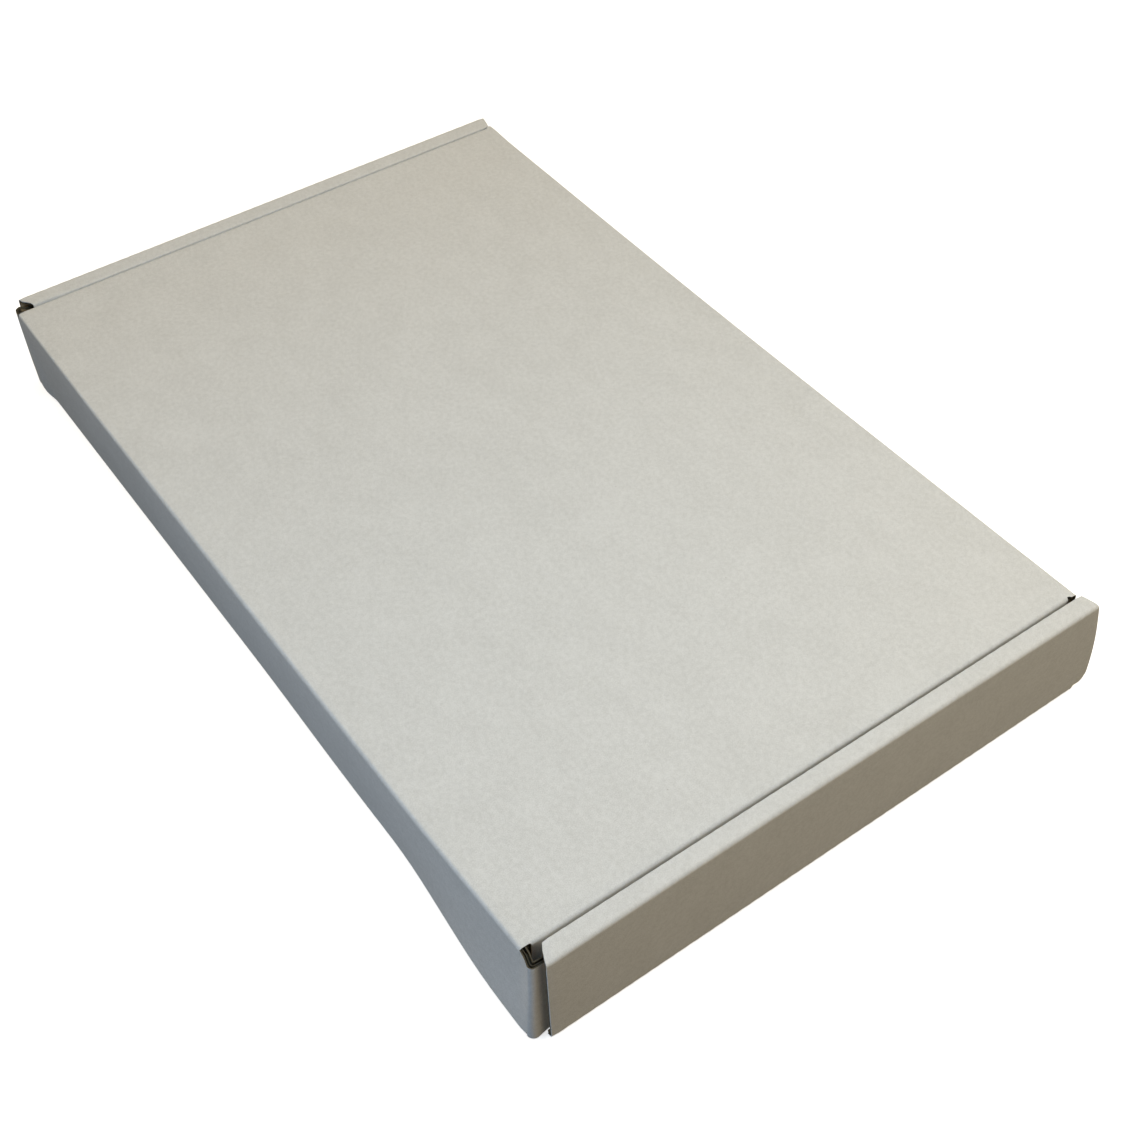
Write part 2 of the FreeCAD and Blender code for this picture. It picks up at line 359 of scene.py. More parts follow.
def long_wall(side, wall_y, top, middle_top):
    """The wall on one side of the base (+1 is the rear), with its two dust flaps."""
    base_edge = wall_y - side * BOARD
    middle = middles(x_lines)[None]
    between = (middle > -near_crease) & (middle < far_crease)
    walked, *foot, fold = side_view((base_edge, 0), 90 - 90 * side, crease(90 * side, FOOT), board=side)
    start = base_edge + side * walked[-1]
    Xg, S = np.meshgrid(x_lines, np.arange(len(walked)))
    points, opposite = (np.stack([Xg, view[S, 0], view[S, 1]], -1) for view in foot)
    keep = np.broadcast_to(np.abs(middle) < foot_x, (len(walked) - 1, middle.size))
    tray.patch(points, opposite, Xg, base_edge + side * walked[S], -fold[S], (0, side, -1), keep)
    rises = np.diff([BOARD, *sorted({middle_top, top})])
    up, *wall, _ = side_view((wall_y, BOARD), 90, list(rises), board=side, step=2.5 * MM)
    Xg, S = np.meshgrid(x_lines, np.arange(len(up)))
    points, opposite = (np.stack([Xg, view[S, 0], view[S, 1]], -1) for view in wall)
    row_middle = middles(wall[0][:, 1])[:, None]
    keep = (np.abs(middle) < wall_x) & ((row_middle < middle_top) | ~between)
    tray.patch(points, opposite, Xg, start + side * up[S], 0.0, (0, side, 0), keep)
    for end in (-1, 1):
        dust_flap(side, end, wall_y, wall[0][:, 1], top, start)
    return start + side * (middle_top - BOARD)


hinge_across = long_wall(+1, rear_y, EAR_TOP, lid_z - CREASE_DROP)
long_wall(-1, front_y, FRONT_TOP, FRONT_TOP)
print("with walls", len(tray.faces), "cells")

# %% [markdown]
# A rolled end is one long strip: up the outside, over the top and down inside, ending in two tabs that
# lock into the base.  Only its two edges give it its outline.  The opening side swells out past the
# front wall, and the strip on top is a little shorter than the panel below it.

# %% Tray: rolled ends
EDGE_FADE = 21 * MM                                # how far in from an edge the lines follow its outline
REAR_INSET = {-1: 2.4 * MM, 1: 3.1 * MM}           # of the panel's top, near and far
STRIP_SHORTER = 1.65 * MM                          # at the rear, once it is over the top
FRONT_INSET, FRONT_STRIP_INSET = 1.25 * MM, 2.2 * MM
BELLY_HEIGHT, BELLY_EASE, BELLY_CORNER = 13 * MM, 7.8 * MM, 2.6 * MM
PANEL_CORNER = 1.75 * MM                           # of the inner panel, beside the base


def fade(distance, reach=EDGE_FADE):
    q = np.clip(distance / reach, 0, 1)
    return (1 - q) ** 2 * (1 + 2 * q)


def follow_edges(lines, low, high):
    """Moves lines near both ends so that they run from low to high; the middle ones stay."""
    low_shift, high_shift = low - lines[0], high - lines[-1]
    return lines + low_shift * fade(lines - lines[0]) + high_shift * fade(lines[-1] - lines)


def end_outline(end, height, share_over):
    """Front and rear edge of a rolled end, up the outside and over the top."""
    slope = (front_y + FRONT_INSET - belly_y) / (top_z - BELLY_HEIGHT)
    ease = np.clip(height - BELLY_HEIGHT + BELLY_EASE, 0, 2 * BELLY_EASE)
    straight = np.maximum(height - BELLY_HEIGHT - BELLY_EASE, 0)
    below = np.clip(BELLY_CORNER - (height - BOARD), 0, BELLY_CORNER)
    front = belly_y + slope * (ease ** 2 / (4 * BELLY_EASE) + straight)
    front = front + BELLY_CORNER - np.sqrt(BELLY_CORNER ** 2 - below ** 2)
    front = np.where(height > BOARD, front, roll_front) + (FRONT_STRIP_INSET - FRONT_INSET) * share_over ** 2
    rear = roll_rear + (rear_y - REAR_INSET[end] - roll_rear) * height / top_z
    return front, rear - STRIP_SHORTER * share_over


def corner_means(values, opposite):
    """Values of the rows for the kraft side: rows that share one inside corner share their mean."""
    group = welded(np.column_stack([opposite, 0 * opposite[:, 0]]))
    return np.stack([values[group == g].mean(0) for g in group])


# %% Tray: fold both rolled ends
corner_rows = BELLY_CORNER * (1 - np.cos(np.linspace(0, math.pi / 2, 7)))
rise = [*np.diff(corner_rows), top_z - 2 * BOARD - BELLY_CORNER]
drop = top_z - 2 * BOARD - FLOOR_GAP
runs = [*crease(90, FOOT), *rise, *crease(90, OVER), end_x - strip_x - 2 * BOARD, *crease(90, DOWN)]
runs += [drop - PANEL_CORNER, *quarter(PANEL_CORNER, 5), BOARD]
walked, view, opposite, fold = side_view((base_end, 0), 0, runs, step=2 * MM)
height = np.maximum.accumulate(view[:, 1])
share_over = np.clip((end_x - np.maximum(view[:, 0], strip_x)) / (end_x - strip_x), 0, 1) * (height > BOARD)
turned_in = rounded_end(walked, walked[-1] - BOARD, PANEL_CORNER)
columns = y_lines[(y_lines >= roll_front - WELD) & (y_lines <= roll_rear + WELD)]
in_tab = inside(middles(columns), tab_edges[:2]) | inside(middles(columns), tab_edges[2:])
keep = np.ones((len(walked) - 1, len(columns) - 1), bool)
keep[-1] = in_tab
for end in (-1, 1):
    front_edge, rear_edge = end_outline(end, height, share_over)
    edges = zip(front_edge + turned_in, rear_edge - turned_in)
    Y = np.stack([follow_edges(columns, low, high) for low, high in edges])
    Y_inside = corner_means(Y, opposite)
    points, kraft_side = (np.stack([end * v[:, :1] + 0 * y, y, v[:, 1:] + 0 * y], -1)
                          for v, y in ((view, Y), (opposite, Y_inside)))
    along = end * (base_end + walked[:, None]) + 0 * Y
    tray.patch(points, kraft_side, along, Y, fold[:, None] + 0 * Y, (0, 0, -1), keep, crushed=1.0)
print("with rolled ends", len(tray.faces), "cells")

# %% [markdown]
# A box that has been folded and closed is never quite square.  The lid's tuck flap stands inside the
# front wall, so the closed lid pushes the top of the rear wall outwards: its foot lies inboard, and
# swings out towards the near end.  The dust flaps hold the corners, and their feet are knocked up.
# The lid lies a little higher at the far end, where the rolled end has settled, and bows at its front.
# Lattices or sculpting could do this.  Smooth steps in code stay readable, move the tray, the lid and the
# crease between them alike, and leave no gap where they meet.

# %% How the box is bent in use
wall_top, lid_rear = lid_z - CREASE_DROP, rear_y - CREASE_DROP
LEAN, FAR_FOOT_OUT = 2.4 * MM, 0.85 * MM           # of the rear wall's foot, inboard, and its far corner
SWINGS = ((0.5 * MM, 0, 50 * MM), (2.8 * MM, 62 * MM, 106 * MM))       # outwards: how far, and between where
NEAR_KNOCK, FAR_KNOCK, KNOCK_HEIGHT = 0.1 * MM, 2.0 * MM, 9 * MM       # feet of the corners, upwards
NEAR_FOOT = 0.5 * MM                               # the near one is rounded in as well
NEAR_EAR_OUT = 0.9 * MM                            # the near ear stands out, and the far one leans in
FAR_EAR_BACK, FAR_EAR_IN = 0.3 * MM, 0.7 * MM
SETTLE, DIP = 0.6 * MM, 0.35 * MM                  # of the far strip, and more along its inner edge
END_LEAN, NEAR_GAP = 0.3 * MM, 0.3 * MM            # the near end leans in, and its strip leaves the lid
LIFT, CURL = 0.4 * MM, 0.3 * MM                    # of the lid towards its far end
BOW, BOW_ENDS = 0.2 * MM, 3.2                      # of its front edge, and how much faster its ends fall away
CORNERS_OUT = {-1: 0.8 * MM, 1: 0.9 * MM}          # its front corners stick out past its end folds


def smooth(value, start, stop):
    q = np.clip((value - start) / (stop - start), 0, 1)
    return q * q * (3 - 2 * q)


def lift(x, z):
    return LIFT * smooth(x, 10 * MM, dust_x) * np.minimum(z / lid_z, 1)


def curl(x):
    return CURL * smooth(x, flap_x - 10 * MM, flap_x - BOARD)


def hinge_in(x):
    """How far inboard the hinge crease lies: a little all along, and more towards both ends."""
    return 0.24 * MM + 0.5 * MM * smooth(-x, 75 * MM, near_crease) + 0.35 * MM * smooth(x, 60 * MM, 113 * MM)


print("the hinge lies inboard by", [round(hinge_in(x) / MM, 2) for x in (-near_crease, 0, far_crease)], "mm")


# %% Tray in use
def tray_in_use(points):
    x, y, z = points.T
    up = z / top_z
    on_wall = smooth(y, 55 * MM, base_rear) * (np.abs(x) < dust_x + 0.01 * MM)
    foot = np.clip(1 - z / wall_top, 0, 1) ** 1.4
    low = np.clip(1 - z / KNOCK_HEIGHT, 0, 1)
    near_corner, far_corner = smooth(-x, wall_x - 2.5 * MM, dust_x), smooth(x, wall_x - 4.5 * MM, dust_x)
    near_ear, far_ear = smooth(-x, near_crease, dust_x), smooth(x, far_crease, dust_x)
    swing = sum(size * smooth(-x, start, stop) for size, start, stop in SWINGS)
    shift = foot * (swing + FAR_FOOT_OUT * smooth(x, 106 * MM, 113.5 * MM) - LEAN)
    shift += (1 - foot) * (NEAR_EAR_OUT * near_ear - FAR_EAR_BACK * far_ear - hinge_in(x))
    shift -= NEAR_FOOT * near_corner * low ** 3
    raised = (NEAR_KNOCK * near_corner + FAR_KNOCK * far_corner) * low + lift(x, z)
    outer = smooth(-x, strip_x, end_x)
    inner = smooth(-x, strip_x - 2 * MM, strip_x) * (1 - outer)
    leans_in = up * (END_LEAN * outer * (1 - (y / rear_y) ** 2) - NEAR_GAP * inner)
    leans_in -= FAR_EAR_IN * far_ear * on_wall * (1 - foot)
    rolled = smooth(x, strip_x - 1.2 * MM, strip_x - 0.1 * MM) * (1 - smooth(y, rear_y - 2.2 * MM, base_rear))
    settled = up * rolled * (SETTLE + DIP * np.clip((end_x - x) / (end_x - strip_x), 0, 1))
    return points + np.stack([leans_in, shift * on_wall, raised * on_wall - settled], -1)


tray_mesh = tray.mesh("tray_face", tray_in_use)


# %% Lid and crease in use
def lid_in_use(points):
    x, y, z = points.T
    bow = BOW * (1 - BOW_ENDS * (x / flap_x) ** 2) * smooth(-y, 0, -lid_low[1])
    rear_in = hinge_in(x) * smooth(y, 45 * MM, lid_rear)
    at_front = smooth(-y, -notch_front - 0.4 * MM, 0.5 * MM - notch_front) * smooth(z, 16 * MM, 24 * MM)
    wider = sum(end * CORNERS_OUT[end] * smooth(end * x, corner_at[end] - 4 * MM, corner_at[end])
                for end in (-1, 1))
    return points + np.stack([wider * at_front, bow - rear_in, lift(x, lid_z) + curl(x)], -1)


def crease_in_use(points):
    x, _, z = points.T
    raised = lift(x, z) + curl(x) * (z - wall_top) / (lid_z - wall_top)
    return points + np.stack([0 * x, -hinge_in(x), raised], -1)


# %% [markdown]
# The lid is a panel with a tuck flap along its front and a short flap at each end.  Its rear edge runs
# into the crease band, a piece of its own, because that band has to bend when the lid opens.

# %% Crease band between the rear wall and the lid
lid_x = x_lines[(x_lines >= -near_crease - WELD) & (x_lines <= far_crease + WELD)]
flat = CREASE_DROP - BOARD


def crease_view(radius):
    """Side view of the lid's crease, from the top of the rear wall to the lid."""
    return side_view((rear_y, wall_top), 90, [flat, *crease(90, radius), flat])


walked, *near_views, fold = crease_view(HINGE[0])
_, *far_views, _ = crease_view(HINGE[1])
X, S = np.meshgrid(lid_x, np.arange(len(walked)))
sharper = smooth(X, 0, far_crease)[..., None]
fallen = sum(rounded_end(end * X - fold_at[end], BOARD, LID_END[end]) for end in (-1, 1))
fallen = fallen * S / (len(walked) - 1)            # with the lid, where it bends into its end flaps
views = [near[S] + (far[S] - near[S]) * sharper for near, far in zip(near_views, far_views)]
points, kraft_side = (np.stack([X, v[..., 0], v[..., 1] - fallen], -1) for v in views)
crease_sheet = Sheet()
crease_sheet.patch(points, kraft_side, X, hinge_across + walked[S], -fold[S], (0, 1, 0))
crease_mesh = crease_sheet.mesh("crease_face", crease_in_use)
lid_across = hinge_across + walked[-1]

# %% Lid: panel
END_DEPTH, END_SLANT, END_CORNER = 19 * MM, 14 * MM, 4 * MM
TUCK_DEPTH, TUCK_LEAN, TUCK_CORNER = 17 * MM, 5, 12 * MM
NOTCH_ROUND = {-1: 0.6 * MM, 1: 0.4 * MM}          # inner corner between an end flap and the lid's front
lid_front = lid_low[1] + LID_FRONT + lead(90 + TUCK_LEAN, LID_FRONT)
flap_rear, flap_front = hinge_y - 1.8 * MM, lid_low[1] + 2.5 * MM
notch_rear, notch_front = lid_rear, flap_front - NOTCH_ROUND[-1]

marks = [notch_rear - d for d in (0, *NEAR_AN_EDGE)] + [notch_front + d for d in (0, *NEAR_AN_EDGE)]
lid_y = grid_lines(lid_front, lid_rear, FLUTE / 5, marks)
X, Y = np.meshgrid(lid_x, lid_y)
xm, ym = np.meshgrid(middles(lid_x), middles(lid_y))
in_corner = (xm > -corner_at[-1]) & (xm < corner_at[1]) & (ym < notch_front)
keep = (xm > -fold_at[-1]) & (xm < fold_at[1]) | in_corner
top, under = (np.stack([X, Y, z + 0 * X], -1) for z in (lid_z, lid_z - BOARD))
lid = Sheet()
lid.patch(top, under, X, lid_across + lid_rear - Y, 0.0, (0, 0, 1), keep)
print("lid panel", len(lid.faces), "cells")

# %% Lid: end flaps
flap_y = lid_y[(lid_y >= notch_front - WELD) & (lid_y <= notch_rear + WELD)]


def lid_end_flap(end):
    """Folds down off one end of the lid, between the two notches."""
    runs = [*crease(-90, LID_END[end]), END_DEPTH - END_CORNER, *quarter(END_CORNER, 7)]
    walked, *views, fold = side_view((fold_at[end], lid_z), 0, runs, board=-1)
    bend, flat = walked[-1] - END_DEPTH, lead(90, LID_END[end])
    band_end = flat + BAND_STEPS[end] * LID_END[end] * math.pi / 16

    def fillet(radius, start):
        """How far a round inner corner stands out, past a stretch that stays full."""
        return rounded_end(radius + start + WELD - walked, radius, radius)

    turned_in = rounded_end(walked, walked[-1], END_CORNER)
    slant = END_SLANT * np.clip(walked - bend, 0, None) / END_DEPTH
    low_edge = notch_front + NOTCH_ROUND[end] - fillet(NOTCH_ROUND[end], flat) + slant + 0.7 * turned_in
    high_edge = flap_rear + fillet(notch_rear - flap_rear, band_end) - turned_in
    Y = np.stack([flap_y + (low - flap_y[0]) * fade(flap_y - flap_y[0], 40 * MM)
                  + (high - flap_y[-1]) * fade(flap_y[-1] - flap_y, 12 * MM)
                  for low, high in zip(low_edge, high_edge)])
    points, kraft_side = (np.stack([end * v[:, :1] + 0 * Y, Y, v[:, 1:] + 0 * Y], -1) for v in views)
    along = end * (fold_at[end] + walked[:, None]) + 0 * Y
    crushed = (walked > bend - flat).astype(float)[:, None]
    lid.patch(points, kraft_side, along, lid_across + lid_rear - Y, fold[:, None] + 0 * Y, (0, 0, 1),
              crushed=crushed)


lid_end_flap(-1)
lid_end_flap(+1)
print("with end flaps", len(lid.faces), "cells")

# %% Lid: tuck flap
runs = [*crease(-90 - TUCK_LEAN, LID_FRONT), TUCK_DEPTH - TUCK_CORNER, *quarter(TUCK_CORNER, 11)]
walked, *views, fold = side_view((-lid_front, lid_z), 0, runs, board=-1)
narrow = 1 - rounded_end(walked, walked[-1], TUCK_CORNER) / fold_at[-1]
X = narrow[:, None] * lid_x[(lid_x >= -corner_at[-1] - WELD) & (lid_x <= corner_at[1] + WELD)]
points, kraft_side = (np.stack([X, -v[:, :1] + 0 * X, v[:, 1:] + 0 * X], -1) for v in views)
across = lid_across + lid_rear - lid_front + walked[:, None] + 0 * X
lid.patch(points, kraft_side, X, across, -fold[:, None] + 0 * X, (0, 0, 1), crushed=1.0)
lid_mesh = lid.mesh("lid_face", lid_in_use)

# %% [markdown]
# Node trees are wired with two helpers.  A Wire is a socket that can stand in a sum, so that maths reads
# as maths, and Tree.node adds any other node with its settings and the values or wires of its sockets.

# %% Wires that do maths
class Wire:
    """An output socket that makes Math nodes when it is used in a sum."""

    def __init__(self, tree, socket):
        self.tree, self.socket = tree, socket

    def math(self, operation, *others):
        return self.tree.node("ShaderNodeMath", {"operation": operation}, dict(enumerate((self, *others))))

    def reflected(self, operation, other):
        return self.tree.node("ShaderNodeMath", {"operation": operation}, {0: other, 1: self})

    def __add__(self, other):
        return self.math("ADD", other)

    def __sub__(self, other):
        return self.math("SUBTRACT", other)

    def __mul__(self, other):
        return self.math("MULTIPLY", other)

    def __truediv__(self, other):
        return self.math("DIVIDE", other)

    def __rsub__(self, other):
        return self.reflected("SUBTRACT", other)

    def __rtruediv__(self, other):
        return self.reflected("DIVIDE", other)

    __radd__, __rmul__ = __add__, __mul__

    def __neg__(self):
        return self * -1.0

    def clamp(self, low=0.0, high=1.0):
        return self.math("MAXIMUM", low).math("MINIMUM", high)


# %% Trees written as calls
class Tree:
    """A node tree that is written as a list of calls."""

    def __init__(self, tree):
        self.tree = tree

    def node(self, kind, settings=None, values=None, output=0):
        """Adds a node, sets its settings and then its inputs, and returns one output as a Wire."""
        node = self.tree.nodes.new(kind)
        for name, value in (settings or {}).items():
            setattr(node, name, value)
        for name, value in (values or {}).items():
            if isinstance(value, Wire):
                self.tree.links.new(value.socket, node.inputs[name])
            else:
                node.inputs[name].default_value = value
        return Wire(self, node.outputs[output]) if node.outputs else node

    def vector(self, operation, *values):
        return self.node("ShaderNodeVectorMath", {"operation": operation}, dict(enumerate(values)))

    def scaled(self, vector, factor):
        return self.node("ShaderNodeVectorMath", {"operation": "SCALE"}, {0: vector, "Scale": factor})


# %% [markdown]
# Geometry Nodes make what repeats along the flutes.  A tree has named inputs for its sizes, and its
# modifier is run once and removed, because the finished piece has to be a plain mesh.

# %% Geometry Nodes: make a tree and run it
def geometry_tree(name, inputs):
    tree = bpy.data.node_groups.new(name, "GeometryNodeTree")
    tree.interface.new_socket("Geometry", in_out="INPUT", socket_type="NodeSocketGeometry")
    for label, kind in inputs:
        tree.interface.new_socket(label, in_out="INPUT", socket_type=kind)
    tree.interface.new_socket("Geometry", in_out="OUTPUT", socket_type="NodeSocketGeometry")
    return Tree(tree), tree.nodes.new("NodeGroupInput")


def add_piece(name, mesh):
    piece = bpy.data.objects.new(name, mesh)
    bpy.context.scene.collection.objects.link(piece)
    return piece


def applied(piece, tree, values):
    """Runs a geometry tree on a piece with these inputs and returns the result as a plain mesh."""
    modifier = piece.modifiers.new("tree", "NODES")
    modifier.node_group = tree.tree
    inputs = [item for item in tree.tree.interface.items_tree if item.in_out == "INPUT"]
    sockets = {item.name: item.identifier for item in inputs}
    for name, value in values.items():
        modifier[sockets[name]] = value
    bpy.context.view_layer.update()
    result = bpy.data.meshes.new_from_object(piece.evaluated_get(bpy.context.evaluated_depsgraph_get()))
    piece.modifiers.remove(modifier)
    return result


def attribute(tree, name, kind="FLOAT"):
    return tree.node("GeometryNodeInputNamedAttribute", {"data_type": kind}, {"Name": name})


# %% [markdown]
# Flutes show through the paper.  It lies over them like a very shallow washboard, and where a crease
# crosses the flutes it is crushed between them, which scallops it.  A crease that runs along the flutes
# only wanders a little.  A bump in the material would do for the washboard, but the scallops show in
# the outline, so both are pressed into the mesh.

# %% Geometry Nodes: press the flutes into the sheet
def press_tree():
    tree, given = geometry_tree("press_flutes", [
        ("Pitch", "NodeSocketFloat"), ("Washboard", "NodeSocketFloat"), ("Scallop", "NodeSocketFloat"),
        ("Wander", "NodeSocketFloat"), ("Seed", "NodeSocketFloat"), ("Material", "NodeSocketMaterial")])
    geometry, pitch, washboard, scallop, wander, seed, material = (
        Wire(tree, given.outputs[i]) for i in range(7))
    along, across, fold = (attribute(tree, name) for name in ("along", "across", "fold"))
    valley = 0.5 - 0.5 * (across * (2 * math.pi) / pitch).math("COSINE")
    place = tree.node("ShaderNodeCombineXYZ", {}, {"X": along, "Y": across, "Z": seed})
    noise = tree.node("ShaderNodeTexNoise", {}, {"Vector": place, "Scale": 120.0, "Detail": 2.0})
    crossing, running = fold.math("MAXIMUM", 0.0), (-fold).math("MAXIMUM", 0.0)
    depth = (washboard + scallop * crossing) * valley + (noise - 0.5) * wander * (running + 0.4 * crossing)
    normal = tree.node("GeometryNodeInputNormal")
    offset = tree.scaled(normal, -depth)
    pressed = tree.node("GeometryNodeSetPosition", {}, {"Geometry": geometry, "Offset": offset})
    realized = tree.node("GeometryNodeRealizeInstances", {}, {"Geometry": pressed})
    coloured = tree.node("GeometryNodeSetMaterial", {}, {"Geometry": realized, "Material": material})
    tree.node("NodeGroupOutput", {}, {"Geometry": coloured})
    return tree


PRESS = {"Pitch": FLUTE, "Washboard": 0.016 * MM, "Scallop": 0.035 * MM, "Wander": 0.08 * MM, "Seed": 3.0}
press = press_tree()
print("press_flutes", len(press.tree.nodes), "nodes")

# %% [markdown]
# Then the pressed face gets its thickness.  A raw edge of corrugated board isn't a flat rim: it shows
# the cut of both papers with a hollow between them, so the rim is a small groove between two lips.
# Where the knife ran along the flutes it found nothing to stand on and pinched the two papers together.
# Solidify can't groove a rim or pinch it, so the thickness is built here from the stored way through.

# %% Read a sheet and find its raw edges
def read_sheet(mesh):
    """The printed side's points and all that the sheet stored on them."""
    def read(data, field, shape, kind=np.float32):
        values = np.empty(shape, kind)
        data.foreach_get(field, values.reshape(-1))
        return values

    count = len(mesh.vertices)
    sheet = {"point": read(mesh.vertices, "co", (count, 3))}
    sheet["normal"] = read(mesh.vertices, "normal", (count, 3))
    for label in ("along", "across", "crushed"):
        sheet[label] = read(mesh.attributes[label].data, "value", count)
    sheet["through"] = read(mesh.attributes["through"].data, "vector", (count, 3))
    sheet["corner"] = read(mesh.attributes["corner"].data, "value", count, np.int32)
    sheet["faces"] = [list(polygon.vertices) for polygon in mesh.polygons]
    return sheet


def raw_edges(sheet):
    """Directed edges with one face, and for their points the way out of the sheet, in its plane."""
    points, normals = sheet["point"].astype(float), sheet["normal"]
    directed = np.array([(face[i - 1], face[i]) for face in sheet["faces"] for i in range(len(face))])
    size = len(points)
    forward, backward = directed[:, 0] * size + directed[:, 1], directed[:, 1] * size + directed[:, 0]
    edges = directed[~np.isin(forward, backward)]
    away = np.cross(points[edges[:, 1]] - points[edges[:, 0]], normals[edges[:, 0]])
    away /= np.linalg.norm(away, axis=1)[:, None]
    out = np.zeros_like(points)
    np.add.at(out, edges[:, 0], away)
    np.add.at(out, edges[:, 1], away)
    squared = (out ** 2).sum(1)[:, None]
    return edges, np.where(squared > 0.5, 2 * out / np.maximum(squared, 0.5), out)


# %% Pinched edges
PINCHED, PINCH_REACH, PINCH_SINK = 2 * PAPER, 1.5 * MM, 0.1 * MM


def pinch(sheet, edges):
    """How pinched the board is at each point, from 0 to 1, near an edge that was cut along the flutes."""
    a, b = edges.T
    along, across = (np.abs(sheet[label][a] - sheet[label][b]) for label in ("along", "across"))
    chosen = edges[(across < 0.6 * along) & (np.minimum(sheet["crushed"][a], sheet["crushed"][b]) > 0.5)]
    amount = np.zeros(len(sheet["point"]))
    if not len(chosen):
        return amount
    points = sheet["point"]
    tree = kdtree.KDTree(6 * len(chosen))
    for start, stop in points[chosen]:
        for share in np.linspace(0, 1, 6):
            tree.insert(start + share * (stop - start), 0)
    tree.balance()
    for i in np.flatnonzero(sheet["crushed"]):
        amount[i] = 1 - smooth(tree.find(points[i])[2], 0, PINCH_REACH)
    return amount


# %% Give a sheet its thickness, with grooved raw edges
GROOVE = 0.9 * MM                                  # how deep a raw edge is hollow
# CUT is the raw cut paper, whose dark colour is partly painted shade
OUTSIDE, INSIDE, CUT = range(3)                    # a board's materials: white, kraft and raw cut paper
SHUT = 0.02                                        # a hollow smaller than this is closed


def thickened(name, mesh):
    """The sheet as a closed piece, and what its raw edges need for the fluted paper."""
    sheet = read_sheet(mesh)
    edges, out = raw_edges(sheet)
    amount = pinch(sheet, edges)[:, None]
    depth = np.linalg.norm(sheet["through"], axis=1)[:, None]
    way = sheet["through"] / depth
    points = sheet["point"] + PINCH_SINK * amount * way
    depth = depth + (PINCHED - depth) * amount
    shared = np.zeros_like(points)
    np.add.at(shared, sheet["corner"], points + depth * way)
    shared /= np.maximum(np.bincount(sheet["corner"], minlength=len(points)), 1)[:, None]
    opposite = shared[sheet["corner"]]

    rim = np.unique(edges)
    place = np.full(len(points), -1)
    place[rim] = np.arange(len(rim))
    hollow = np.clip((depth[rim] - PINCHED) / (BOARD - PINCHED), 0, 1)
    lips = [points[rim] + PAPER * way[rim], opposite[rim] - PAPER * way[rim]]
    lips[1] = np.where(hollow > SHUT, lips[1], lips[0])
    rings = [lips[0], *(lip - GROOVE * hollow * out[rim] for lip in lips), lips[1]]

    count, step = len(points), len(rim)
    ring_index = 2 * count + np.arange(4)[:, None] * step + np.arange(step)
    shut = hollow[:, 0] <= SHUT
    ring_index[1:, shut] = ring_index[0, shut]
    a, b = place[edges[:, 0]], place[edges[:, 1]]
    pinched = (np.maximum(hollow[a], hollow[b])[:, 0] < 0.3).tolist()
    near = [edges[:, 0], *ring_index[:, a], count + sheet["corner"][edges[:, 0]]]
    far = [edges[:, 1], *ring_index[:, b], count + sheet["corner"][edges[:, 1]]]
    faces = list(sheet["faces"])
    kraft_faces = real_faces((count + sheet["corner"][face[::-1]]).tolist() for face in faces)
    materials = [OUTSIDE] * len(faces) + [INSIDE] * len(kraft_faces)
    faces += kraft_faces
    for k in range(len(near) - 1):                 # outer lip, groove and inner lip
        band = np.stack([far[k], near[k], near[k + 1], far[k + 1]], -1).tolist()
        faces += real_faces(band)
        # the white paper wraps round a pinched edge
        # lips that aren't pinched take the cut paper, whose dark colour is partly painted shade
        colours = [OUTSIDE if k == 0 and narrow else CUT for narrow in pinched]
        materials += [colour for colour, face in zip(colours, band) if len(set(face)) > 2]

    used, flat_faces = np.unique(np.concatenate(faces), return_inverse=True)
    splits = np.cumsum([len(face) for face in faces])[:-1]
    faces = [part.tolist() for part in np.split(flat_faces, splits)]
    board = bpy.data.meshes.new(name)
    board.from_pydata(np.concatenate([points, shared, *rings])[used].tolist(), [], faces)
    for label in ("along", "across"):
        values = sheet[label]
        kraft_values = np.zeros(count, np.float32)
        kraft_values[sheet["corner"]] = values
        store(board, label, np.concatenate([values, kraft_values] + [values[rim]] * len(rings))[used])
    board.polygons.foreach_set("material_index", materials)
    board.shade_smooth()
    board.set_sharp_from_angle(angle=math.radians(40))
    cut = {"points": (points[rim] + opposite[rim]) / 2 - 0.05 * MM * out[rim], "edges": np.stack([a, b], -1),
           "up": -way[rim], "out": out[rim], "across": sheet["across"][rim], "hollow": hollow[:, 0]}
    print(name, len(faces), "faces,", len(edges), "raw edge pieces")
    return board, cut


# %% [markdown]
# The fluted paper shows in every raw edge.  It is one wave over the whole flat sheet, so a cut across
# the flutes shows the wave and a cut along them shows one long wall, a little off line.  Geometry Nodes
# lay a ribbon along each cut at the height that the wave has there.

